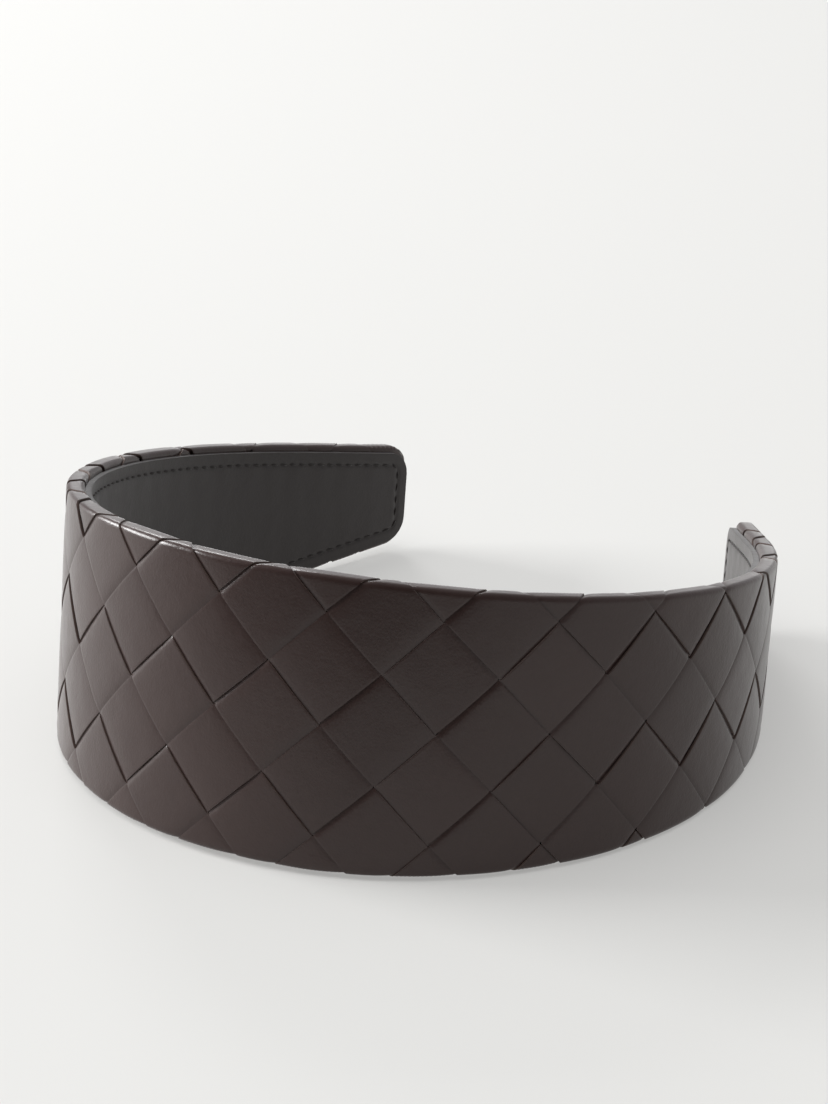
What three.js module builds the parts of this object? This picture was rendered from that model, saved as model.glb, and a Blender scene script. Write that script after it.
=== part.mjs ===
// A wide headband of woven leather strips: a spring band and its padding inside, two families of
// flat strips woven at 45 degrees over them and turned round both edges, a sewn lining inside.
// Millimetres. The band rests on its lower edge, crown towards -Y, arms towards +Y, +Z up. Its
// edges taper towards the tips, so it settles back until the arms' lower edges meet the table.
import * as THREE from 'three';
import { mergeVertices } from 'three/addons/utils/BufferGeometryUtils.js';

// Band outline, laid flat: arc length along X, width along Z.
const arcLength = 367;
const crownWidth = 51.7;
const tipWidth = 20;
const fullWidthHalfLength = 15.5; // each side of the crown's centre, before the taper starts
const taperPower = 1.45;
const tipCornerRadius = 5;
const tipCornerAngles = [0, 35, 65]; // degrees round each tip corner, where the outline turns
const closestStation = 3; // a column of crossings nearer a tip corner than this isn't a facet line
const closestEnd = 1; // nor is one nearer an inner piece's end than this

// Plan curve of the outer face. Its curvature eases from the crown's to the tip's, which flares.
const crownRadius = 63;
const leftArm = { ease: 2.6, flareRadius: 200 };
const rightArm = { ease: 4, flareRadius: 130 };
const leanBack = 6; // degrees
const curveStep = 0.25;
const onLine = 0.01; // a point this near a cutting line lies on it
const weldsPerMillimetre = 1000; // points that round to the same place are one

// Leather strips. A strip fills most of its pitch; the rest is where its neighbours dip past it.
const stripPitch = 13.8;
const stripFill = 0.86;
const weavePhase = 2.4; // the nearest crossing on the band's middle line lies this far left of s = 0
const tuckLength = 4; // how far a strip runs on behind the edge
const tuckGap = 1; // kept free of the middle line, at the least
const smallestStrip = 30; // square millimetres; a smaller corner scrap isn't cut

// Layers through the band, from the outer face inwards, with the air left between them.
const stripThickness = 0.4;
const layerGap = 0.15;
const threadGap = 0.05; // between the lining and its thread
const paddingThickness = 0.4;
const springThickness = 0.6;
const liningThickness = 1;
const threadThickness = 0.25;
const threadWidth = 0.5;

// How far the inner pieces stay inside the band's outline.
const springTipInset = 5;
const liningEdgeInset = 1.2;
const threadEdgeInset = 3.8;

const crossing = stripPitch * Math.SQRT2; // distance between crossings along a row
const halfArc = arcLength / 2;
const stripMargin = (1 - stripFill) / 2;

// Heights from the middle of the rolled shell, positive outwards.
const rollRadius = 2 * stripThickness + 2.5 * layerGap + (paddingThickness + springThickness) / 2;
const overHeight = rollRadius - stripThickness / 2;
const underHeight = overHeight - stripThickness - layerGap;
const paddingTop = underHeight - stripThickness / 2 - layerGap;
const springTop = paddingTop - paddingThickness - layerGap;
const liningTop = -rollRadius - layerGap;
const liningBottom = liningTop - liningThickness;
const threadTop = liningBottom - threadGap;

// The roll round an edge has three equal facets, so that its middle one is level.
const rollFacets = 3;
const rollStep = (Math.PI * rollRadius) / rollFacets;
const rollReach = rollRadius * Math.sin(Math.PI / rollFacets);
const innerEdgeInset = rollReach; // the padding and spring band end where the roll starts

const leather = new THREE.Color(0.075, 0.058, 0.055);
const liningLeather = new THREE.Color(0.062, 0.055, 0.05);
const felt = new THREE.Color(0.25, 0.24, 0.22);
const springSteel = new THREE.Color(0.5, 0.52, 0.55);
const thread = new THREE.Color(0.05, 0.042, 0.04);

function makeMaterial(color, roughness, metalness) {
  return new THREE.MeshStandardMaterial({ color, roughness, metalness });
}

function curvature(s) {
  const arm = s < 0 ? leftArm : rightArm;
  const atCrown = 1 / crownRadius;
  const atTip = -1 / arm.flareRadius;
  return atCrown - (atCrown - atTip) * Math.abs(s / halfArc) ** arm.ease;
}

// The outer face's plan position and outward direction at arc length s.
function tracePlan(s) {
  const steps = Math.max(1, Math.round(Math.abs(s) / curveStep));
  const step = s / steps;
  let x = 0;
  let y = 0;
  let turn = 0;
  for (let i = 0; i < steps; i += 1) {
    const middleTurn = turn + (curvature(step * (i + 0.25)) * step) / 2;
    x += Math.cos(middleTurn) * step;
    y += Math.sin(middleTurn) * step;
    turn += curvature(step * (i + 0.5)) * step;
  }
  return { x, y, outX: Math.sin(turn), outY: -Math.cos(turn) };
}

const cornerEnd = THREE.MathUtils.degToRad(tipCornerAngles.at(-1));
const cornerStart = halfArc - tipCornerRadius * Math.sin(cornerEnd);

function halfWidth(s) {
  const along = Math.abs(s);
  const t = Math.max(0, (along - fullWidthHalfLength) / (halfArc - fullWidthHalfLength));
  const tapered = crownWidth / 2 - ((crownWidth - tipWidth) / 2) * t ** taperPower;
  const intoCorner = Math.max(0, along - cornerStart) / tipCornerRadius;
  return tapered - tipCornerRadius * (1 - Math.sqrt(1 - intoCorner ** 2));
}

// The band is faceted along its length at these stations: each column of crossings and the tips.
function listStations() {
  const stations = [];
  const columnStep = crossing / 2;
  const firstColumn = Math.ceil((-cornerStart + weavePhase + closestStation) / columnStep);
  const lastColumn = Math.floor((cornerStart + weavePhase - closestStation) / columnStep);
  for (let column = firstColumn; column <= lastColumn; column += 1) {
    stations.push(column * columnStep - weavePhase);
  }
  for (const degrees of tipCornerAngles) {
    const s = cornerStart + tipCornerRadius * Math.sin(THREE.MathUtils.degToRad(degrees));
    stations.push(s, -s);
  }
  return stations.sort((a, b) => a - b);
}

const columns = listStations().map((s) => {
  const edge = halfWidth(s) - rollReach; // where the roll starts
  const tuck = Math.min(tuckLength, edge - tuckGap);
  return { s, ...tracePlan(s), edge, tuck };
});

function blendColumns(a, b, share) {
  const blended = {};
  for (const key of Object.keys(a)) {
    blended[key] = a[key] + (b[key] - a[key]) * share;
  }
  return blended;
}

function columnAt(s) {
  let i = 0;
  while (i < columns.length - 2 && columns[i + 1].s < s) {
    i += 1;
  }
  return blendColumns(columns[i], columns[i + 1], (s - columns[i].s) / (columns[i + 1].s - columns[i].s));
}

// A point on the flat pattern: s along the band, w across it. Past the edge, w runs round the
// roll and back along the inner side. The height is measured from the middle of the shell.
function placeOnBand(s, w, height) {
  const column = columnAt(s);
  const side = Math.sign(w);
  const past = Math.max(0, Math.abs(w) - column.edge);
  const facet = Math.min(Math.floor(past / rollStep), rollFacets);
  const share = facet < rollFacets ? past / rollStep - facet : 0;
  const angle = (facet * Math.PI) / rollFacets;
  const nextAngle = ((facet + 1) * Math.PI) / rollFacets;
  const out = THREE.MathUtils.lerp(Math.cos(angle), Math.cos(nextAngle), share);
  const up = THREE.MathUtils.lerp(Math.sin(angle), Math.sin(nextAngle), share);
  const back = Math.max(0, past - rollFacets * rollStep);
  const z = past > 0 ? side * (column.edge + height * up - back) : w;
  const offset = height * out - rollRadius;
  return new THREE.Vector3(column.x + column.outX * offset, column.y + column.outY * offset, z);
}

// Splits a convex flat shape along the line where distance, in millimetres, is zero.
function splitPolygon(polygon, distance) {
  const keep = [];
  const rest = [];
  polygon.forEach((point, i) => {
    const next = polygon[(i + 1) % polygon.length];
    const d = distance(point);
    const dNext = distance(next);
    if (d >= -onLine) keep.push(point);
    if (d <= onLine) rest.push(point);
    if ((d > onLine && dNext < -onLine) || (d < -onLine && dNext > onLine)) {
      const share = d / (d - dNext);
      const cut = { s: point.s + (next.s - point.s) * share, w: point.w + (next.w - point.w) * share };
      keep.push(cut);
      rest.push(cut);
    }
  });
  return [keep, rest].map((part) => (part.length > 2 ? part : null));
}

function splitAll(polygons, distance) {
  return polygons.flatMap((polygon) => splitPolygon(polygon, distance)).filter(Boolean);
}

// The two weave coordinates of a point; a falling strip keeps the first, a rising one the second.
function weaveCoordinates({ s, w }) {
  return [(s + weavePhase + w) / crossing, (s + weavePhase - w) / crossing];
}

// Cuts one strip's flat shape along the band's facets, its roll and the crossing strips' edges.
function cutStrip(family, index) {
  const across = (point) => weaveCoordinates(point)[family] - index;
  const along = (point) => weaveCoordinates(point)[1 - family];
  const pieces = [];
  for (let i = 0; i < columns.length - 1; i += 1) {
    const [a, b] = [columns[i], columns[i + 1]];
    const reach = (column) => column.edge + rollFacets * rollStep + column.tuck;
    let polygons = [[
      { s: a.s, w: -reach(a) },
      { s: b.s, w: -reach(b) },
      { s: b.s, w: reach(b) },
      { s: a.s, w: reach(a) },
    ]];
    const insideLow = (point) => (across(point) - stripMargin) * crossing;
    const insideHigh = (point) => (1 - stripMargin - across(point)) * crossing;
    for (const inside of [insideLow, insideHigh]) {
      polygons = polygons.map((polygon) => splitPolygon(polygon, inside)[0]).filter(Boolean);
    }
    if (polygons.length === 0) continue;
    const reached = polygons[0].map(along);
    for (let m = Math.floor(Math.min(...reached)); m <= Math.ceil(Math.max(...reached)); m += 1) {
      polygons = splitAll(polygons, (point) => (along(point) - m + stripMargin) * crossing);
      polygons = splitAll(polygons, (point) => (along(point) - m - stripMargin) * crossing);
    }
    for (let facet = 0; facet <= rollFacets; facet += 1) {
      const lineAt = (s) => blendColumns(a, b, (s - a.s) / (b.s - a.s)).edge + facet * rollStep;
      polygons = splitAll(polygons, (point) => point.w - lineAt(point.s));
      polygons = splitAll(polygons, (point) => point.w + lineAt(point.s));
    }
    pieces.push(...polygons);
  }
  return pieces;
}

// Over one crossing and under the next, with the change of level between the crossing strips.
function stripHeight(family, index, point) {
  const along = weaveCoordinates(point)[1 - family];
  const cell = Math.round(along);
  const isOver = (m) => (Math.abs(index - m) % 2 === 0) === (family === 0);
  const share = THREE.MathUtils.clamp((along - cell) / (2 * stripMargin) + 0.5, 0, 1);
  const before = isOver(cell - 1) ? overHeight : underHeight;
  const after = isOver(cell) ? overHeight : underHeight;
  return THREE.MathUtils.lerp(before, after, share);
}

function flatArea(polygons) {
  let total = 0;
  for (const polygon of polygons) {
    polygon.forEach((point, i) => {
      const next = polygon[(i + 1) % polygon.length];
      total += (point.s * next.w - next.s * point.w) / 2;
    });
  }
  return total;
}

function geometryFrom(points, triangles) {
  const geometry = new THREE.BufferGeometry().setFromPoints(points);
  geometry.setIndex(triangles.flat());
  return geometry;
}

// Gives the flat pieces their thickness: an outer skin, an inner skin and walls on open edges.
function thickenStrip(family, index, polygons) {
  const flatPoints = [];
  const found = new Map();
  const lookUp = (point) => {
    const key = [point.s, point.w].map((value) => Math.round(value * weldsPerMillimetre)).join();
    if (!found.has(key)) {
      found.set(key, flatPoints.length);
      flatPoints.push(point);
    }
    return found.get(key);
  };
  const rings = polygons.map((polygon) => polygon.map(lookUp).filter((v, i, all) => v !== all.at(i - 1)));
  const edges = new Set(rings.flatMap((ring) => ring.map((v, i) => `${v},${ring[(i + 1) % ring.length]}`)));
  const count = flatPoints.length;
  const triangles = [];
  for (const ring of rings) {
    for (let i = 1; i < ring.length - 1; i += 1) {
      triangles.push([ring[0], ring[i], ring[i + 1]]);
      triangles.push([ring[0] + count, ring[i + 1] + count, ring[i] + count]);
    }
    ring.forEach((v, i) => {
      const next = ring[(i + 1) % ring.length];
      if (edges.has(`${next},${v}`)) return;
      triangles.push([v, v + count, next], [next, v + count, next + count]);
    });
  }
  const skins = [stripThickness / 2, -stripThickness / 2].flatMap((lift) => flatPoints.map((point) => {
    return placeOnBand(point.s, point.w, stripHeight(family, index, point) + lift);
  }));
  return geometryFrom(skins, triangles);
}

// A curved slab between two heights, its ends and edges set in from the band's outline.
function bentPanel(top, bottom, edgeInset, tipInset) {
  const end = halfArc - tipInset;
  const stations = columns.map((column) => column.s).filter((s) => Math.abs(s) < end - closestEnd);
  stations.unshift(-end);
  stations.push(end);
  const box = new THREE.BoxGeometry(1, 2, 1, stations.length - 1, 1, 1);
  box.deleteAttribute('normal');
  box.deleteAttribute('uv');
  const geometry = mergeVertices(box);
  const position = geometry.attributes.position;
  for (let i = 0; i < position.count; i += 1) {
    const s = stations[Math.round((position.getX(i) + 0.5) * (stations.length - 1))];
    const depth = (position.getZ(i) > 0 ? top : bottom) - rollRadius;
    const column = columnAt(s);
    const z = position.getY(i) * (column.edge + rollReach - edgeInset);
    position.setXYZ(i, column.x + column.outX * depth, column.y + column.outY * depth, z);
  }
  return geometry;
}

// The sewing thread, one closed run along both edges and round both tips of the lining.
function threadRun() {
  const end = halfArc - threadEdgeInset;
  const stations = columns.map((column) => column.s).filter((s) => Math.abs(s) < end - closestEnd);
  stations.unshift(-end);
  stations.push(end);
  const ring = [...stations.map((s) => [s, -1]), ...stations.reverse().map((s) => [s, 1])];
  const points = [];
  for (const [s, side] of ring) {
    for (const [outer, height] of [[0, 0], [1, 0], [1, 1], [0, 1]]) {
      const inset = threadEdgeInset + (1 - outer) * threadWidth;
      const column = columnAt(s - Math.sign(s) * (Math.abs(s) === end ? (1 - outer) * threadWidth : 0));
      const depth = threadTop - height * threadThickness - rollRadius;
      const z = side * (column.edge + rollReach - inset);
      points.push(new THREE.Vector3(column.x + column.outX * depth, column.y + column.outY * depth, z));
    }
  }
  const triangles = [];
  ring.forEach((_, i) => {
    const next = (i + 1) % ring.length;
    for (let k = 0; k < 4; k += 1) {
      const [a, b] = [i * 4 + k, i * 4 + ((k + 1) % 4)];
      const [c, d] = [next * 4 + k, next * 4 + ((k + 1) % 4)];
      triangles.push([a, b, c], [b, d, c]);
    }
  });
  return geometryFrom(points, triangles);
}

const headband = new THREE.Group();

function addPiece(name, geometry, material) {
  const mesh = new THREE.Mesh(geometry, material);
  mesh.name = name;
  headband.add(mesh);
}

const reachAcross = crownWidth / 2 + rollStep * rollFacets + tuckLength;
const firstStrip = Math.floor((-halfArc + weavePhase - reachAcross) / crossing);
const lastStrip = Math.ceil((halfArc + weavePhase + reachAcross) / crossing);
['falling', 'rising'].forEach((direction, family) => {
  let number = 0;
  for (let index = firstStrip; index <= lastStrip; index += 1) {
    const polygons = cutStrip(family, index);
    if (flatArea(polygons) < smallestStrip) continue;
    number += 1;
    const name = `${direction}_strip_${String(number).padStart(2, '0')}`;
    addPiece(name, thickenStrip(family, index, polygons), makeMaterial(leather, 0.45, 0));
  }
});

addPiece('padding', bentPanel(paddingTop, springTop + layerGap, innerEdgeInset, springTipInset),
  makeMaterial(felt, 0.95, 0));
addPiece('spring_band', bentPanel(springTop, springTop - springThickness, innerEdgeInset, springTipInset),
  makeMaterial(springSteel, 0.35, 1));
addPiece('lining', bentPanel(liningTop, liningBottom, liningEdgeInset, liningEdgeInset),
  makeMaterial(liningLeather, 0.55, 0));
addPiece('lining_thread', threadRun(), makeMaterial(thread, 0.7, 0));

// The band leans back as it rests, and the origin is the middle of the base.
headband.rotation.x = -THREE.MathUtils.degToRad(leanBack);
const box = new THREE.Box3().setFromObject(headband, true);
const middle = box.getCenter(new THREE.Vector3());
headband.position.set(-middle.x, -middle.y, -box.min.z);

export default headband;
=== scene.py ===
# Woven leather headband: flat leather strips woven on the bias round a padded spring band,
# with a sewn leather lining. Pieces are shaped flat, in millimetres, and then bent onto the band.
import math
import random

import bpy
import numpy as np
from mathutils import Matrix, Vector
from mathutils.kdtree import KDTree


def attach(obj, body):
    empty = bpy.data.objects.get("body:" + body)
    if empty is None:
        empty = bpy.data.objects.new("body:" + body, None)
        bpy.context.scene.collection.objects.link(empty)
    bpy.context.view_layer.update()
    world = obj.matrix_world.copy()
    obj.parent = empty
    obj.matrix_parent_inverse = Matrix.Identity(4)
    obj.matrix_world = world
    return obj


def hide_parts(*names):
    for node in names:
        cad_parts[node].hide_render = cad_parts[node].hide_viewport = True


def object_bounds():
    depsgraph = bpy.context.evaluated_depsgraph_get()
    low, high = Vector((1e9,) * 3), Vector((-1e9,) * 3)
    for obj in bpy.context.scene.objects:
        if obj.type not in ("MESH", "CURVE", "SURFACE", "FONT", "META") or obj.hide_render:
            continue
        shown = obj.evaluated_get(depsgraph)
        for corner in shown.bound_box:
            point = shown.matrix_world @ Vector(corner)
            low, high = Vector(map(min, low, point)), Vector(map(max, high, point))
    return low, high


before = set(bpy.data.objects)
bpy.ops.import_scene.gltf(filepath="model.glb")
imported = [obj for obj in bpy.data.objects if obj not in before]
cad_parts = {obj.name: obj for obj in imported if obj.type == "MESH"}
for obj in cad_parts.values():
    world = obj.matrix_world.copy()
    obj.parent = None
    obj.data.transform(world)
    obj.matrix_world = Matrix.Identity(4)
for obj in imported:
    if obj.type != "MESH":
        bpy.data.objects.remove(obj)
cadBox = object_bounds()
chance = random.Random(7)
metre = 1000.0  # millimetres in a metre
print("frame loaded")

# The band laid flat: s runs along it from the middle of the crown, w across it. An arm's ease says
# how long it keeps the crown's curve, and its flare is the radius it bends outwards to at its tip.
band = {
    "halfLength": 183.5,
    "crownHalfWidth": 25.85,
    "tipHalfWidth": 10.0,
    "taperStart": 15.5,  # the band keeps its full width this far from the middle
    "taperPower": 1.45,
    "taperLimit": 1.1,  # share of the taper at which it stops, a little beyond the tip
    "tipCorner": 5.6,
    "crownRadius": 63.0,
    "leftEase": 2.6,
    "leftFlare": 200.0,
    "rightEase": 4.0,
    "rightFlare": 130.0,
    "rollRadius": 1.675,  # half the thickness of the woven shell
    "stripMiddle": 1.5,  # height at which the strips turn over
    "turnRadius": 0.65,  # of each corner as they turn, at that height
    "leanBack": math.radians(6.0),
    "crownPlace": (1.1388, -70.8387, 26.5802),  # middle of the crown's outer face
}

# Steps, in millimetres, at which the band's lines are sampled.
fineness = {
    "plan": 0.1,
    "outline": 0.05,
    "rollLine": 0.15,
    "tipArc": 40,  # points on each rounded corner of the tips
}


def halfWidth(s):
    spread = band["crownHalfWidth"] - band["tipHalfWidth"]
    t = (np.abs(s) - band["taperStart"]) / (band["halfLength"] - band["taperStart"])
    return band["crownHalfWidth"] - spread * np.clip(t, 0.0, band["taperLimit"]) ** band["taperPower"]


# Plan curve of the outer face, whose curvature eases from the crown to the flared tips.
def tracePlan(spare=8.0):
    step = fineness["plan"]
    s = np.arange(-band["halfLength"] - spare, band["halfLength"] + spare, step)
    ease = np.where(s < 0, band["leftEase"], band["rightEase"])
    tipCurve = -1.0 / np.where(s < 0, band["leftFlare"], band["rightFlare"])
    crownCurve = 1.0 / band["crownRadius"]
    curve = crownCurve - (crownCurve - tipCurve) * np.abs(s / band["halfLength"]) ** ease
    turn = np.cumsum(curve) * step
    turn -= np.interp(0.0, s, turn)
    x = np.cumsum(np.cos(turn)) * step
    y = np.cumsum(np.sin(turn)) * step
    return s, x - np.interp(0.0, s, x), y - np.interp(0.0, s, y), turn


planS, planX, planY, planTurn = tracePlan()


# Flat pattern to space, with the band leaning back as it rests. The height is measured outwards
# from the middle of the woven shell.
def bendToSpace(flat):
    s, w, height = flat.T
    turn = np.interp(s, planS, planTurn)
    out = height - band["rollRadius"]
    x = np.interp(s, planS, planX) + np.sin(turn) * out
    y = np.interp(s, planS, planY) - np.cos(turn) * out
    lean = band["leanBack"]
    bent = [x, y * math.cos(lean) + w * math.sin(lean), w * math.cos(lean) - y * math.sin(lean)]
    return (np.column_stack(bent) + band["crownPlace"]) / metre


# How far inside the outline the strips start to turn over, and how much of a strip the turn takes.
turnInset = band["turnRadius"] + band["rollRadius"] - band["stripMiddle"]
turnLength = math.pi * band["turnRadius"] + 2.0 * (band["stripMiddle"] - band["turnRadius"])


# Distances run at each point of a closed line, with the whole way round at the end.
def runRound(line):
    steps = np.hypot(*np.diff(np.vstack([line, line[:1]]), axis=0).T)
    return np.concatenate([[0.0], np.cumsum(steps)])


def placesRound(line, at):
    closed, run = np.vstack([line, line[:1]]), runRound(line)
    return np.column_stack([np.interp(at, run, closed[:, 0]), np.interp(at, run, closed[:, 1])])


def directionsRound(line, reach=1):
    along = np.roll(line, -reach, axis=0) - np.roll(line, reach, axis=0)
    return along / np.hypot(*along.T)[:, None]


# The line round the band where the strips start to turn over, as one closed run of points.
def traceRollLine():
    length, corner = band["halfLength"], band["tipCorner"]
    s = np.arange(0.0, length, fineness["outline"])
    w = halfWidth(s)
    slope = np.gradient(w, s)
    size = np.hypot(slope, 1.0)
    edge = np.column_stack([s + slope / size * turnInset, w - turnInset / size])
    centreS = length - corner
    centreW = w[-1] + slope[-1] * (centreS - length) - corner * size[-1]
    angles = np.linspace(math.atan2(1.0, -slope[-1]), 0.0, fineness["tipArc"])
    radius = corner - turnInset
    arc = np.column_stack([centreS + radius * np.cos(angles), centreW + radius * np.sin(angles)])
    quarter = np.vstack([edge[edge[:, 0] < arc[0, 0] - fineness["outline"]], arc])
    right = np.vstack([quarter, (quarter * [1, -1])[::-1]])
    ring = np.vstack([right, (right * [-1, 1])[::-1]])
    ring = ring[np.diff(runRound(ring)) > 1e-6]  # the quarters meet in doubled points
    whole = runRound(ring)[-1]
    line = placesRound(ring, np.linspace(0.0, whole, int(whole / fineness["rollLine"]), endpoint=False))
    along = directionsRound(line, 3)  # read over a few points, so that it turns smoothly
    normal = np.column_stack([-along[:, 1], along[:, 0]])
    return line, normal if np.sum(line * normal) > 0 else -normal


rollLine, rollNormal = traceRollLine()
rollTree = KDTree(len(rollLine))
for number, (s, w) in enumerate(rollLine):
    rollTree.insert((s, w, 0.0), number)
rollTree.balance()


# How far each flat point lies outside the roll line, with the line's outward direction there.
def pastRollLine(s, w, within=6.0):
    past = np.full(len(s), -within)
    outward = np.zeros((len(s), 2))
    near = (np.abs(w) > halfWidth(s) - within) | (np.abs(s) > band["halfLength"] - within)
    for i in np.nonzero(near)[0]:
        number = rollTree.find((s[i], w[i], 0.0))[1]
        nearS, nearW = rollLine[number]
        outward[i] = rollNormal[number]
        past[i] = (s[i] - nearS) * outward[i][0] + (w[i] - nearW) * outward[i][1]
    return past, outward


# Turns whatever runs past the roll line round the edge and back along the inner side: a corner,
# a short flat across the edge, a second corner, and then straight on.
def wrapRound(flat):
    s, w, height = flat.T
    past, outward = pastRollLine(s, w)
    radius, straight = band["turnRadius"], band["stripMiddle"] - band["turnRadius"]
    quarter = math.pi / 2.0 * radius
    secondCorner = quarter + 2.0 * straight
    angle = (np.clip(past, 0.0, quarter) + np.clip(past - secondCorner, 0.0, quarter)) / radius
    down = np.clip(past - quarter, 0.0, 2.0 * straight)
    back = np.maximum(past - turnLength, 0.0)
    lift = height - band["stripMiddle"]
    out = (radius + lift) * np.sin(angle) - back
    shift = np.where(past > 0, out - past, 0.0)
    moved = flat.copy()
    moved[:, 0] += outward[:, 0] * shift
    moved[:, 1] += outward[:, 1] * shift
    moved[:, 2] = np.where(past > 0, straight - down + (radius + lift) * np.cos(angle), height)
    return moved


def readPoints(mesh):
    points = np.empty(len(mesh.vertices) * 3)
    mesh.vertices.foreach_get("co", points)
    return points.reshape(-1, 3)


def writePoints(mesh, points):
    mesh.vertices.foreach_set("co", np.ascontiguousarray(points, dtype=np.float64).ravel())
    mesh.update()


def deselectAll():
    bpy.ops.object.select_all(action="DESELECT")


def makeActive(piece):
    deselectAll()
    piece.select_set(True)
    bpy.context.view_layer.objects.active = piece


def applyModifier(piece, kind, **settings):
    modifier = piece.modifiers.new(kind.title(), kind)
    for name, value in settings.items():
        setattr(modifier, name, value)
    makeActive(piece)
    bpy.ops.object.modifier_apply(modifier=modifier.name)


def addGrid(name, columns, rows):
    deselectAll()
    bpy.ops.mesh.primitive_grid_add(x_subdivisions=columns, y_subdivisions=rows, size=1.0)
    piece = bpy.context.active_object
    piece.name = name
    piece.data.name = name
    return piece


def smoothShade(piece, degrees=35):
    makeActive(piece)
    bpy.ops.object.shade_smooth_by_angle(angle=math.radians(degrees))


# A socket that can be reckoned with: an expression on sockets adds its Math nodes.
class Value:
    def __init__(self, finish, socket):
        self.finish = finish
        self.socket = socket

    def combine(self, operation, *others):
        node = self.finish.node("ShaderNodeMath", {"operation": operation}, [self.socket, *others])
        return Value(self.finish, node.outputs[0])

    def __add__(self, other):
        return self.combine("ADD", other)

    def __sub__(self, other):
        return self.combine("SUBTRACT", other)

    def __mul__(self, other):
        return self.combine("MULTIPLY", other)

    def __pow__(self, other):
        return self.combine("POWER", other)

    __radd__ = __add__


class Nodes:
    def __init__(self, tree):
        self.tree = tree

    # Settings go on the node first, then the values or links of its sockets, by place or by name.
    def node(self, kind, settings=None, sockets=None):
        node = self.tree.nodes.new(kind)
        for name, value in (settings or {}).items():
            setattr(node, name, value)
        pairs = sockets.items() if isinstance(sockets, dict) else enumerate(sockets or [])
        for key, value in pairs:
            self.feed(node.inputs[key], value)
        return node

    def feed(self, socket, value):
        if isinstance(value, Value):
            value = value.socket
        if isinstance(value, bpy.types.NodeSocket):
            self.tree.links.new(value, socket)
        else:
            socket.default_value = value

    # By place, because a Mix node has sockets of the same name for numbers and for colours.
    def mixColours(self, share, first, second):
        node = self.node("ShaderNodeMix", {"data_type": "RGBA"}, {0: share, 6: first, 7: second})
        return node.outputs[2]


class Finish(Nodes):
    def __init__(self, name):
        self.material = bpy.data.materials.new(name)
        self.material.use_nodes = True
        super().__init__(self.material.node_tree)
        self.surface = self.tree.nodes["Principled BSDF"]
        self.coordinates = self.node("ShaderNodeTexCoord").outputs["Object"]

    def noise(self, scale, detail=2.0, roughness=0.5):
        sockets = {"Vector": self.coordinates, "Scale": scale, "Detail": detail, "Roughness": roughness}
        return Value(self, self.node("ShaderNodeTexNoise", None, sockets).outputs["Fac"])

    def cells(self, scale):
        sockets = {"Vector": self.coordinates, "Scale": scale}
        return Value(self, self.node("ShaderNodeTexVoronoi", None, sockets).outputs["Distance"])

    def attribute(self, name):
        return Value(self, self.node("ShaderNodeAttribute", {"attribute_name": name}).outputs["Fac"])

    def bump(self, height, strength, distance, below=None):
        sockets = {"Height": height, "Strength": strength, "Distance": distance}
        if below is not None:
            sockets["Normal"] = below
        return self.node("ShaderNodeBump", None, sockets).outputs["Normal"]

    def set(self, **sockets):
        for name, value in sockets.items():
            self.feed(self.surface.inputs[name.replace("_", " ")], value)
        return self.material


# Each finish goes from its deep to its pale colour. A scale is that of a noise, per metre, and a
# depth is the height of its bumps in metres.
calf = {
    "deep": (0.0310, 0.0170, 0.0150, 1.0),
    "pale": (0.0480, 0.0275, 0.0242, 1.0),
    "cloudScale": 45.0,
    "cloudShare": 0.5,  # how much the clouds tell in the colour
    "mottleScale": 420.0,
    "mottleShare": 0.25,
    "speckleScale": 1500.0,
    "speckleShare": 0.3,
    "toneShare": 0.35,  # and the shade of the whole piece
    "darker": 0.25,  # taken off the sum of these shares
    "creaseScale": 260.0,
    "creaseStrength": 0.14,
    "creaseDepth": 0.0006,
    "grainScale": 2200.0,
    "poreScale": 3740.0,
    "grainStrength": 0.30,
    "grainDepth": 0.00008,
    "roughness": 0.32,
    "gloss": 0.42,
    "sheen": 0.27,
    "sheenRoughness": 0.3,
}


def makeCalf(name, hide):
    finish = Finish(name)
    cloudy = finish.noise(hide["cloudScale"], 3.0)
    mottle = finish.noise(hide["mottleScale"], 3.0)
    speckle = finish.noise(hide["speckleScale"])
    tone = finish.attribute("tone")
    share = cloudy * hide["cloudShare"] + mottle * hide["mottleShare"]
    share = share + speckle * hide["speckleShare"] + tone * hide["toneShare"] - hide["darker"]
    colour = finish.mixColours(share, hide["deep"], hide["pale"])
    creases = finish.noise(hide["creaseScale"], 4.0, 0.55)
    grain = finish.cells(hide["grainScale"]) * 0.6 + finish.noise(hide["poreScale"]) * 0.4
    normal = finish.bump(creases, hide["creaseStrength"], hide["creaseDepth"])
    normal = finish.bump(grain, hide["grainStrength"], hide["grainDepth"], normal)
    roughness = hide["roughness"] + mottle * 0.10 + cloudy * 0.06 - 0.08
    finish.set(Specular_IOR_Level=hide["gloss"])
    finish.set(Sheen_Weight=hide["sheen"], Sheen_Roughness=hide["sheenRoughness"])
    return finish.set(Base_Color=colour, Roughness=roughness, Normal=normal)


# The cut edges: partly their own paler colour and partly a painted highlight, made paler so that the
# edges read as lit lines.
cutEdgeAndHighlight = dict(
    calf,
    deep=(0.070, 0.048, 0.041, 1.0),
    pale=(0.140, 0.100, 0.086, 1.0),
    roughness=0.60,
)
liningCalf = dict(
    calf,
    deep=(0.0210, 0.0160, 0.0150, 1.0),
    pale=(0.0310, 0.0245, 0.0230, 1.0),
    roughness=0.46,
)
calfMaterial = makeCalf("wovenCalf", calf)
edgeAndHighlightMaterial = makeCalf("cutEdgeAndHighlight", cutEdgeAndHighlight)
liningMaterial = makeCalf("liningCalf", liningCalf)

thread = {
    "deep": (0.016, 0.013, 0.012, 1.0),
    "pale": (0.036, 0.030, 0.028, 1.0),
    "fibreScale": 5200.0,
    "fibreStrength": 0.35,
    "fibreDepth": 0.00006,
    "roughness": 0.62,
}


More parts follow.
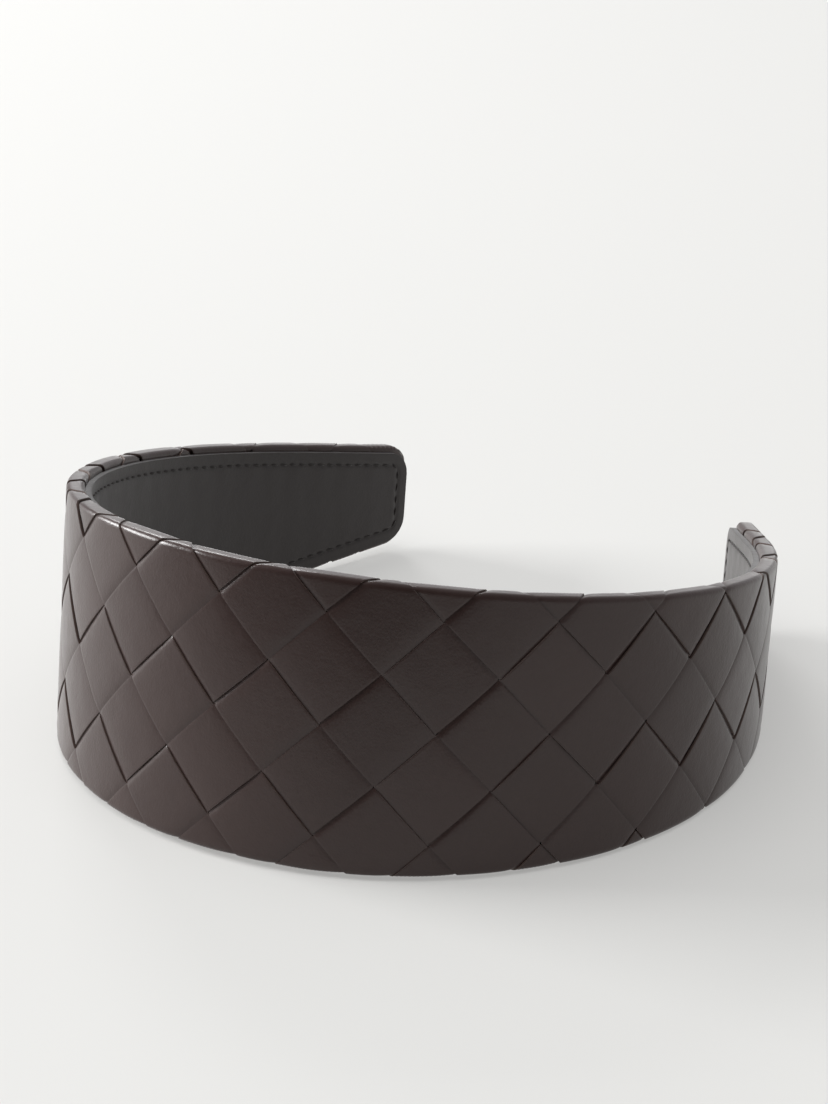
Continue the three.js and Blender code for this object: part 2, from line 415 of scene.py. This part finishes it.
def makeThread():
    finish = Finish("liningThread")
    fibres = finish.noise(thread["fibreScale"])
    colour = finish.mixColours(fibres, thread["deep"], thread["pale"])
    normal = finish.bump(fibres, thread["fibreStrength"], thread["fibreDepth"])
    return finish.set(Base_Color=colour, Roughness=thread["roughness"] + fibres * 0.1, Normal=normal)


threadMaterial = makeThread()

felt = {
    "deep": (0.010, 0.009, 0.008, 1.0),
    "pale": (0.030, 0.027, 0.025, 1.0),
    "fibreScale": 1800.0,
    "fibreStrength": 0.6,
    "fibreDepth": 0.0002,
    "roughness": 0.95,
}


def makeFelt():
    finish = Finish("paddingFelt")
    fibres = finish.noise(felt["fibreScale"], 5.0, 0.7)
    colour = finish.mixColours(fibres, felt["deep"], felt["pale"])
    normal = finish.bump(fibres, felt["fibreStrength"], felt["fibreDepth"])
    return finish.set(Base_Color=colour, Roughness=felt["roughness"], Normal=normal)


steel = {
    "deep": (0.42, 0.43, 0.45, 1.0),
    "pale": (0.55, 0.56, 0.58, 1.0),
    "brushScale": 900.0,
    "roughness": 0.28,
}


def makeSpringSteel():
    finish = Finish("springSteel")
    brushed = finish.noise(steel["brushScale"], 3.0)
    colour = finish.mixColours(brushed, steel["deep"], steel["pale"])
    return finish.set(Base_Color=colour, Metallic=1.0, Roughness=steel["roughness"] + brushed * 0.15)


# The padding and the spring band keep the shapes they come with.
for node, material in (("padding", makeFelt()), ("spring_band", makeSpringSteel())):
    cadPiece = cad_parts[node]
    cadPiece.data.materials.clear()
    cadPiece.data.materials.append(material)
print("materials made")

# Lengths along a strip and across its channel are shares of the pitch; heights, and places along
# the band, are millimetres.
weave = {
    "pitch": 13.8,
    "phase": 2.4,
    "firstStrip": -10,
    "strips": 20,
    "thickness": 0.44,
    "rounding": 0.17,  # of its cut edges
    "over": 1.66,
    "level": 1.42,  # where one crossing meets the next
    "under": 1.24,
    "gapDip": 0.46,  # how much lower a strip starts and ends where the gap beside it stands open
    "dipLength": 0.07,
    "openGap": 0.045,  # a gap this wide lets the strips beside it dip in full
    "narrowing": 0.05,  # length over which a strip narrows once it is out of sight
    "leftOpens": (25.0, 45.0),  # where the gaps on an arm start to open, and over what length
    "rightOpens": (32.0, 50.0),
    "wedgeStart": 0.4,  # share of its width that a gap starts with
    "wedgeGain": 1.2,  # and what it gains along one crossing
    "sway": 0.0015,  # how far a strip wanders in its channel
    "crown": 0.03,  # how far its middle stands above its edges
    "swell": 0.015,  # its slow rise and fall along its run
    "swellTurn": 1.7,  # radians to each pitch
    "lastSpare": 0.5,  # the first and last strip are this much wider, beyond the tips
    "tuck": 4.0,  # behind the turn
    "pointsAlong": 42,  # to each pitch
    "pointsAcross": 28,
}
crossing = weave["pitch"] * math.sqrt(2.0)  # from one crossing to the next, straight along the band
channelRun = np.linspace(-22.0, 22.0, 4401)  # in pitches, further than any strip runs

# Each gap is what a strip leaves free of its channel on its high or its low side: its usual share,
# and what it gains towards the left and the right arm. Thin is the part of the channel the strip
# takes up while it is out of sight; a high flatness keeps its crossings level.
families = {
    "falling": {
        "high": (0.009, 0.062, 0.0),
        "low": (0.003, 0.0, 0.016),
        "thin": (0.24, 0.70),
        "flatness": 6.0,
    },
    "rising": {
        "high": (0.015, 0.006, -0.009),
        "low": (0.002, 0.0, 0.034),
        "thin": (0.05, 0.92),
        "flatness": 3.0,
    },
}


def smooth(x):
    x = np.clip(x, 0.0, 1.0)
    return x * x * (3.0 - 2.0 * x)


def gapAt(family, side, s):
    usual, leftGain, rightGain = families[family][side]
    (leftStart, leftLength), (rightStart, rightLength) = weave["leftOpens"], weave["rightOpens"]
    left, right = smooth((-s - leftStart) / leftLength), smooth((s - rightStart) / rightLength)
    return usual + leftGain * left + rightGain * right


# Flat point at a place across a strip's channel and along it.
def flatPlace(family, index, across, along):
    kept = index + across
    first, second = (kept, along) if family == "falling" else (along, kept)
    s = crossing * (first + second) / 2 - weave["phase"]
    w = crossing * (first - second) / 2
    return s, w


# Height and width share of a strip along its run: full over a crossing, tucked in under one.
def weaveProfile(family, index, along, s):
    other = "rising" if family == "falling" else "falling"
    gapBefore, gapAfter = gapAt(other, "high", s), gapAt(other, "low", s)
    dipLength = weave["dipLength"]
    cell = np.floor(along)
    height = -(weave["level"] - weave["under"]) * np.sin(math.pi * (along - cell))
    wide = np.zeros_like(along)
    for candidate in (cell - 1, cell, cell + 1):
        isOver = (np.abs(index - candidate) % 2 == 0) == (family == "falling")
        start, end = candidate - gapBefore, candidate + 1 + gapAfter
        share = np.clip((along - start) / (end - start), 0.0, 1.0)
        arch = 1.0 - np.abs(2.0 * share - 1.0) ** families[family]["flatness"]
        inside = isOver & (along >= start) & (along <= end)
        height = np.where(inside, (weave["over"] - weave["level"]) * arch, height)
        for place, gap in ((start, gapBefore), (end, gapAfter)):
            openShare = np.minimum(gap / weave["openGap"], 1.0)
            dip = weave["gapDip"] * openShare * (1.0 - smooth(np.abs(along - place) / dipLength))
            height -= np.where(isOver, dip, 0.0)
        outside = np.maximum(start - dipLength - along, along - end - dipLength)
        narrow = smooth(outside / weave["narrowing"] + 1.0)
        wide = np.where(isOver, np.maximum(wide, 1.0 - narrow), wide)
    return weave["level"] + height, wide


# Where a strip's middle leaves the band: the flat points to cut it at, with their directions.
def trimPlanes(family, index):
    s, w = flatPlace(family, index, 0.5, channelRun)
    length = band["halfLength"]
    spare = turnLength - turnInset + weave["tuck"]
    farOff = np.where(np.abs(s) > length + 20.0, 1e3, 0.0)  # keeps to the crossing on the band itself
    planes = []
    for side in (1, -1):
        nearest = np.argmin(np.abs(side * w - halfWidth(s)) + farOff)
        at = float(np.clip(s[nearest], -length, length))
        slope = float(halfWidth(at + 0.5) - halfWidth(at - 0.5))
        size = math.hypot(slope, 1.0)
        edge = side * (float(halfWidth(at)) + spare * size)
        planes.append(((at, edge), (-slope / size, side / size)))
        planes.append(((side * (length + spare), 0.0), (side, 0.0)))
    return planes


# First and last place along its channel where a strip is near the band.
def runOfStrip(family, index, spare=10.0):
    onBand = np.zeros(len(channelRun), bool)
    for across in (0.0, 0.5, 1.0):
        s, w = flatPlace(family, index, across, channelRun)
        onBand |= (np.abs(w) < halfWidth(s) + spare) & (np.abs(s) < band["halfLength"] + spare)
    return channelRun[onBand].min(), channelRun[onBand].max()


def trimStrip(strip, family, index):
    makeActive(strip)
    bpy.ops.object.mode_set(mode="EDIT")
    for (s, w), (outS, outW) in trimPlanes(family, index):
        bpy.ops.mesh.select_all(action="SELECT")
        bpy.ops.mesh.bisect(plane_co=(s, w, 0.0), plane_no=(outS, outW, 0.0), clear_outer=True)
    bpy.ops.object.mode_set(mode="OBJECT")


# One shade of the hide for each piece, read by the leather.
def addTone(piece):
    tone = piece.data.attributes.new("tone", "FLOAT", "POINT")
    tone.data.foreach_set("value", [chance.random()] * len(piece.data.vertices))


# Only where two faces meet sharply, as they do along a cut edge.
def roundEdges(piece, width, segments, **settings):
    limit = {"limit_method": "ANGLE", "angle_limit": math.radians(60)}
    applyModifier(piece, "BEVEL", width=width, segments=segments, **limit, **settings)


def modelStrip(family, number):
    index = weave["firstStrip"] + number
    start, end = runOfStrip(family, index)
    columns = int((end - start) * weave["pointsAlong"])
    strip = addGrid(f"{family}Strip{number + 1:02d}", columns, weave["pointsAcross"])
    strip.data.materials.append(calfMaterial)
    strip.data.materials.append(edgeAndHighlightMaterial)
    points = readPoints(strip.data)
    along = start + (points[:, 0] + 0.5) * (end - start)
    share = points[:, 1] + 0.5
    cellShare = along - np.floor(along)
    if family == "rising":
        share = 1.0 - share  # keeps the outer face outwards
        cellShare = 1.0 - cellShare  # its gaps widen the other way
    middleS, _ = flatPlace(family, index, 0.5, along)
    height, wide = weaveProfile(family, index, along, middleS)
    thinLow, thinHigh = families[family]["thin"]
    sway = weave["sway"] * np.sin(along * chance.uniform(2.0, 3.0) + chance.uniform(0.0, 6.0))
    wedge = weave["wedgeStart"] + weave["wedgeGain"] * cellShare
    low = thinLow + (gapAt(family, "low", middleS) * wedge - thinLow) * wide + sway
    high = thinHigh + (1.0 - gapAt(family, "high", middleS) * wedge - thinHigh) * wide + sway
    if number == 0:
        low = low - weave["lastSpare"]
    if number == weave["strips"] - 1:
        high = high + weave["lastSpare"]
    s, w = flatPlace(family, index, low + (high - low) * share, along)
    height += weave["crown"] * (1.0 - (2.0 * share - 1.0) ** 2) * wide
    height += weave["swell"] * np.sin(along * weave["swellTurn"] + number) * wide
    writePoints(strip.data, np.column_stack([s, w, height]))
    trimStrip(strip, family, index)
    applyModifier(strip, "SOLIDIFY", thickness=weave["thickness"], offset=-1.0, material_offset_rim=1)
    roundEdges(strip, weave["rounding"], 3, material=1)
    writePoints(strip.data, bendToSpace(wrapRound(readPoints(strip.data))))
    addTone(strip)
    smoothShade(strip)
    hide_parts(f"{family}_strip_{number + 1:02d}")
    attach(strip, "root")


for family in families:
    for number in range(weave["strips"]):
        modelStrip(family, number)
print("strips woven")

# Lining, and the groove its seam lies in.
lining = {
    "top": -1.72,  # height of its outer side, just under the strips' turned ends
    "thickness": 1.15,
    "inset": 1.25,  # inside the band's outline
    "rounding": 0.5,
    "seam": 2.55,  # inside the lining's own edge
    "groove": 0.16,
    "grooveHalfWidth": 0.45,
    "puff": 0.03,  # soft rise and fall just inside the seam
    "puffTurn": 0.9,  # radians to each millimetre
    "puffPlace": 1.6,
    "puffHalfWidth": 1.4,
    "columns": 560,
    "tipCrowding": 1.25,  # brings the columns closer together towards the tips
    "rowDepths": [0.0, 0.6, 1.0, 1.5, 1.9, 2.2, 2.4, 2.55, 2.7, 2.9, 3.2, 3.6, 4.3, 5.4, 7.4],
    "rowSpare": 0.6,  # least room between the innermost rows and the middle
}


def modelLining():
    depths = lining["rowDepths"]
    rows = 2 * len(depths)
    panel = addGrid("lining", lining["columns"], rows)
    points = readPoints(panel.data)
    end = band["halfLength"] - lining["inset"]
    corner = band["tipCorner"] - lining["inset"]
    share = points[:, 0] * 2.0
    fromTip = np.clip(1.0 - np.abs(share), 0.0, 1.0)
    s = np.sign(share) * end * (1.0 - fromTip ** lining["tipCrowding"])
    into = np.clip((np.abs(s) - (end - corner)) / corner, 0.0, 1.0)
    edge = halfWidth(s) - lining["inset"] - corner * (1.0 - np.sqrt(1.0 - into**2))
    line = np.round((points[:, 1] + 0.5) * rows).astype(int)
    fromEdge = np.minimum(line, rows - line)
    room = np.minimum(1.0, edge / (depths[-1] + lining["rowSpare"]))
    depth = np.interp(fromEdge, np.arange(len(depths)), depths) * room
    side = np.where(line < len(depths), -1.0, 1.0)
    w = np.where(fromEdge < len(depths), side * (edge - depth), 0.0)
    writePoints(panel.data, np.column_stack([s, w, np.full(len(s), lining["top"])]))
    applyModifier(panel, "SOLIDIFY", thickness=lining["thickness"], offset=-1.0)
    roundEdges(panel, lining["rounding"], 4)
    flat = readPoints(panel.data)
    past, _ = pastRollLine(flat[:, 0], flat[:, 1])
    fromSeam = past - (turnInset - lining["inset"] - lining["seam"])
    hollow = lining["groove"] * np.exp(-((fromSeam / lining["grooveHalfWidth"]) ** 2))
    nearPuff = np.exp(-(((fromSeam + lining["puffPlace"]) / lining["puffHalfWidth"]) ** 2))
    puff = lining["puff"] * np.sin(flat[:, 0] * lining["puffTurn"]) * nearPuff
    inner = flat[:, 2] < lining["top"] - lining["thickness"] / 2
    flat[:, 2] += np.where(inner, hollow - puff, 0.0)
    writePoints(panel.data, bendToSpace(flat))
    addTone(panel)
    panel.data.materials.append(liningMaterial)
    smoothShade(panel, 60)
    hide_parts("lining")
    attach(panel, "root")


# The flat line at a distance inside the band's outline, as evenly spaced points and directions.
def insetLine(inset, step):
    line = rollLine + rollNormal * (turnInset - inset)
    whole = runRound(line)[-1]
    count = int(round(whole / step))
    placed = placesRound(line, np.arange(count) * whole / count)
    return placed, directionsRound(placed)


stitch = {
    "spacing": 2.6,
    "length": 2.15,
    "thickness": 0.40,
    "endPower": 1.3,  # above 1 its ends are drawn out thinner
    "slant": 0.10,
    "wander": 0.02,
    "sunk": 0.12,  # how far its middle lies down in the groove
    "dip": 0.24,  # how far each end goes down into its hole
}


def sewLining():
    deselectAll()
    bpy.ops.mesh.primitive_uv_sphere_add(segments=10, ring_count=8, radius=0.5)
    pattern = bpy.context.active_object
    shape = readPoints(pattern.data)[:, [2, 0, 1]]  # its poles become the two ends
    shape[:, 0] = np.sign(shape[:, 0]) * np.abs(2.0 * shape[:, 0]) ** stitch["endPower"] / 2.0
    shape *= [stitch["length"], stitch["thickness"], stitch["thickness"]]
    surface = lining["top"] - lining["thickness"] + lining["groove"]
    lengthwise = (2.0 * shape[:, 0] / stitch["length"]) ** 2
    height = surface - stitch["sunk"] + stitch["dip"] * lengthwise - shape[:, 2]
    stitches = []
    placed, along = insetLine(lining["inset"] + lining["seam"], stitch["spacing"])
    for place, direction in zip(placed, along):
        sideways = np.array([-direction[1], direction[0]])
        turned = direction + stitch["slant"] * sideways
        turned += chance.gauss(0.0, stitch["wander"]) * sideways
        side = np.array([-turned[1], turned[0]])
        flat = place + np.outer(shape[:, 0], turned) + np.outer(shape[:, 1], side)
        one = pattern.copy()
        one.data = pattern.data.copy()
        bpy.context.collection.objects.link(one)
        writePoints(one.data, bendToSpace(np.column_stack([flat, height])))
        stitches.append(one)
    bpy.data.objects.remove(pattern)
    deselectAll()
    for one in stitches:
        one.select_set(True)
    bpy.context.view_layer.objects.active = stitches[0]
    bpy.ops.object.join()
    seam = bpy.context.active_object
    seam.name = "liningThread"
    seam.data.materials.append(threadMaterial)
    bpy.ops.object.shade_smooth()
    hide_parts("lining_thread")
    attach(seam, "root")


modelLining()
sewLining()
print("lining sewn in")

# Floor, light and camera.
studio = {
    "floorSize": 16.0,
    "floorGap": 0.0002,  # between the floor and the band
    "floorDeep": (0.37, 0.368, 0.358, 1.0),
    "floorPale": (0.3774, 0.37536, 0.36516, 1.0),
    "floorRoughness": 0.9,
    "patchScale": 3.0,
    "floorPaintedShade": (0.03, 0.03, 0.03, 1.0),  # painted shade: the near black that the pale floor's colour falls off into in front
    "paintedShadeFront": -0.19,  # where it starts to
    "paintedShadeFade": 0.16,  # and how soon
    "paintedTableGlow": 0.34,  # the pale table glows with painted light of its own, which keeps its shadows light
    "paintedGlowColour": (1.0, 0.995, 0.975, 1.0),
    "noGlow": (0.0, 0.0, 0.0, 1.0),
    "brightAir": (0.64, 0.645, 0.66, 1.0),
    "dimAir": (0.05, 0.05, 0.05, 1.0),
    "dimSide": (0.25, -0.93, 0.27),  # the studio is darker towards here
    "dimPower": 1.5,
}

# An unmirrored lamp lights the pieces but doesn't show in their gloss.
lamps = {
    "leftWindow": {"place": (-1.1, 1.15, 1.0), "size": (0.5, 0.5), "power": 9.0, "mirrored": True},
    "leftPanel": {"place": (-1.6, -0.35, 0.55), "size": (1.0, 0.6), "power": 44.0, "mirrored": True},
    "overhead": {"place": (-0.2, -0.45, 2.3), "size": (2.4, 2.4), "power": 30.0, "mirrored": False},
}
lampTarget = (0.0, 0.0, 0.02)


def layFloor():
    deselectAll()
    height = cadBox[0][2] - studio["floorGap"]
    bpy.ops.mesh.primitive_plane_add(size=studio["floorSize"], location=(0.0, 0.0, height))
    floor = bpy.context.active_object
    floor.name = "floor"
    finish = Finish("paleFloor")
    patches = finish.noise(studio["patchScale"], 3.0)
    colour = finish.mixColours(patches, studio["floorDeep"], studio["floorPale"])
    depth = finish.node("ShaderNodeSeparateXYZ", None, [finish.coordinates]).outputs["Y"]
    # Painted shade in front of the band: the floor's colour darkens there, and its painted glow goes
    # out.
    inFront = Value(finish, depth) * -1.0 + studio["paintedShadeFront"]
    paintedShadeShare = inFront * (1.0 / studio["paintedShadeFade"])
    paintedShadeShare = finish.node("ShaderNodeClamp", None, [paintedShadeShare]).outputs[0]
    colour = finish.mixColours(paintedShadeShare, colour, studio["floorPaintedShade"])
    # The floor's painted glow: full on the table, and out where the painted shade falls.
    glow = finish.mixColours(paintedShadeShare, studio["paintedGlowColour"], studio["noGlow"])
    finish.set(Base_Color=colour, Roughness=studio["floorRoughness"])
    finish.set(Emission_Color=glow, Emission_Strength=studio["paintedTableGlow"])
    floor.data.materials.append(finish.material)


def hangLamp(name, place, size, power, mirrored):
    deselectAll()
    bpy.ops.object.light_add(type="AREA", location=place)
    lamp = bpy.context.active_object
    lamp.name = name
    lamp.data.shape = "RECTANGLE"
    lamp.data.size, lamp.data.size_y = size
    lamp.data.energy = power
    lamp.visible_glossy = mirrored
    aim = Vector(lampTarget) - Vector(place)
    lamp.rotation_euler = aim.to_track_quat("-Z", "Y").to_euler()


def fillAir():
    world = bpy.data.worlds.new("studioAir")
    bpy.context.scene.world = world
    world.use_nodes = True
    air = Nodes(world.node_tree)
    direction = air.node("ShaderNodeTexCoord").outputs["Generated"]
    vectors = [direction, studio["dimSide"]]
    towards = air.node("ShaderNodeVectorMath", {"operation": "DOT_PRODUCT"}, vectors)
    share = Value(air, towards.outputs["Value"]) * 0.5 + 0.5
    colour = air.mixColours(share ** studio["dimPower"], studio["brightAir"], studio["dimAir"])
    air.feed(world.node_tree.nodes["Background"].inputs["Color"], colour)


layFloor()
fillAir()
for name, lamp in lamps.items():
    hangLamp(name, **lamp)

view = {
    "place": (0.26797, -0.49002, 0.24609),
    "aim": (-0.00272, 0.00033, 0.03017),
    "roll": 0.99,  # in degrees
    "lens": 106.0,
    "sensor": 36.0,
}


def placeCamera():
    deselectAll()
    bpy.ops.object.camera_add(location=view["place"])
    camera = bpy.context.active_object
    direction = Vector(view["aim"]) - Vector(view["place"])
    roll = Matrix.Rotation(math.radians(view["roll"]), 3, "Z")
    camera.rotation_euler = (direction.to_track_quat("-Z", "Y").to_matrix() @ roll).to_euler()
    camera.data.lens = view["lens"]
    camera.data.sensor_width = view["sensor"]
    bpy.context.scene.camera = camera


placeCamera()
bpy.context.scene.view_settings.view_transform = "Standard"
print("stage set")
